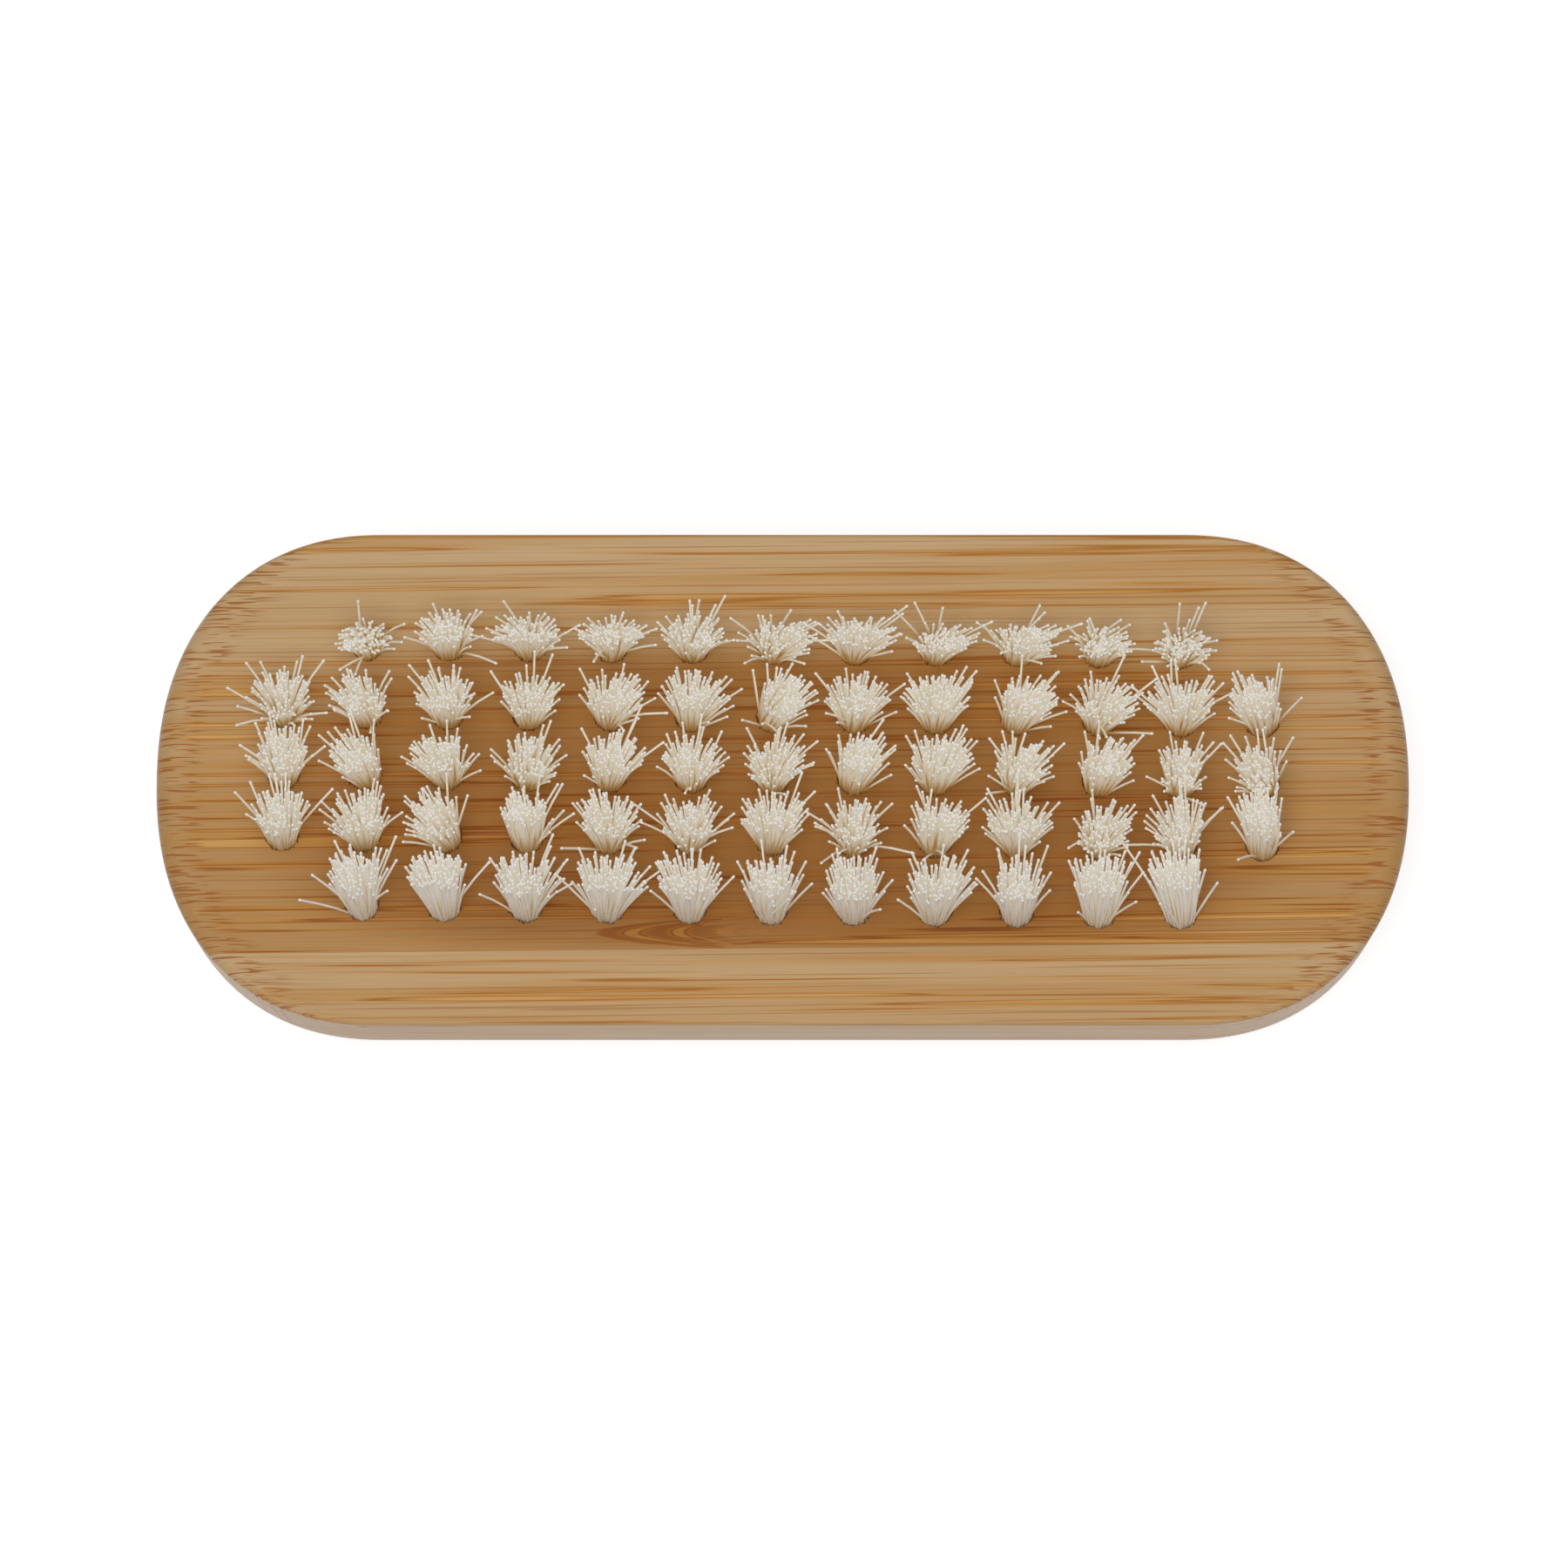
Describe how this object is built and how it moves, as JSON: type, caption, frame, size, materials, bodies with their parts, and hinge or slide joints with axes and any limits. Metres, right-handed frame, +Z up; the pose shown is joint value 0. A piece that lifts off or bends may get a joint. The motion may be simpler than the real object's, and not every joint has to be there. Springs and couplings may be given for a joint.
{
  "type": "nail brush",
  "caption": "Block nail brush: a round-ended, edge-glued bamboo block with a flat face, a rounded-under back and rows of stiff pale nylon tufts set in drilled holes.",
  "frame": {"origin": "centre of the block's outline, on the plane of its flat back", "axes": "+X along the block, +Y towards the edge that is at the top of the picture, +Z up through the tufted face and the bristles; the brush lies on its back, as pictured"},
  "size_m": [0.1, 0.04, 0.0235],
  "materials": {
    "bamboo": "sanded bamboo, edge-grain strips, thin satin seal",
    "nylon": "stiff ivory nylon filament, cut ends",
    "anchor_wire": "plain flat wire"
  },
  "bodies": {
    "root": {"bamboo_strip_1": "bamboo", "bamboo_strip_2": "bamboo", "bamboo_strip_3": "bamboo", "bamboo_strip_4": "bamboo", "bamboo_strip_5": "bamboo", "bamboo_strip_6": "bamboo", "tufts_front_row": "nylon", "tufts_middle_rows": "nylon", "tufts_back_row": "nylon", "anchor_wire_01": "anchor_wire", "anchor_wire_02": "anchor_wire", "anchor_wire_03": "anchor_wire", "anchor_wire_04": "anchor_wire", "anchor_wire_05": "anchor_wire", "anchor_wire_06": "anchor_wire", "anchor_wire_07": "anchor_wire", "anchor_wire_08": "anchor_wire", "anchor_wire_09": "anchor_wire", "anchor_wire_10": "anchor_wire", "anchor_wire_11": "anchor_wire", "anchor_wire_12": "anchor_wire", "anchor_wire_13": "anchor_wire"}
  },
  "joints": []
}
